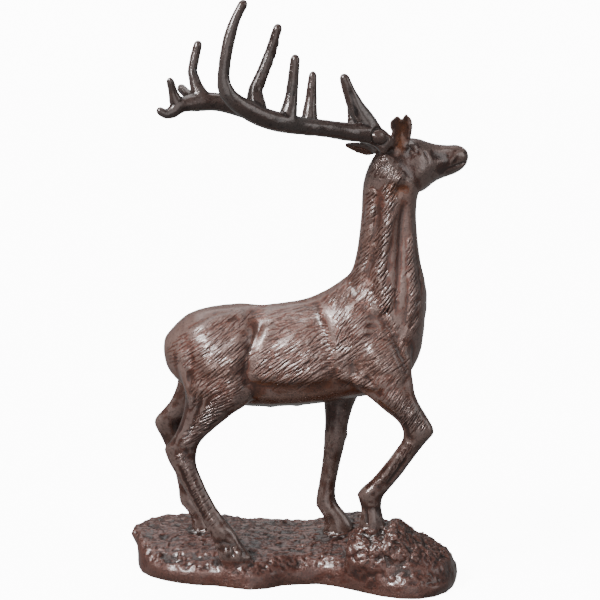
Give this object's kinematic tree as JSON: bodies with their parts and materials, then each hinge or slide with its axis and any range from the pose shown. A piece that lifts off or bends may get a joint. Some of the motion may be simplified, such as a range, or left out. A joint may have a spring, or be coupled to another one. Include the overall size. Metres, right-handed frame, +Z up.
{
  "type": "cast iron stag statue",
  "caption": "Standing stag ornament in brown patinated cast iron, head turned and one fore hoof on a rock, on a rough ground base with a flat underside.",
  "frame": {"origin": "centre of the bounding box, on the surface that the statue stands on", "axes": "+X the way the stag's body faces, +Z up, -Y the stag's right side, from which its fore leg on the rock is seen"},
  "size_m": [0.3468, 0.221, 0.5871],
  "materials": {
    "cast_iron": "rust-brown patinated cast iron, semi-gloss wax or lacquer, worn paler on the raised relief"
  },
  "bodies": {
    "root": {"stag_statue": "cast_iron"}
  },
  "joints": []
}
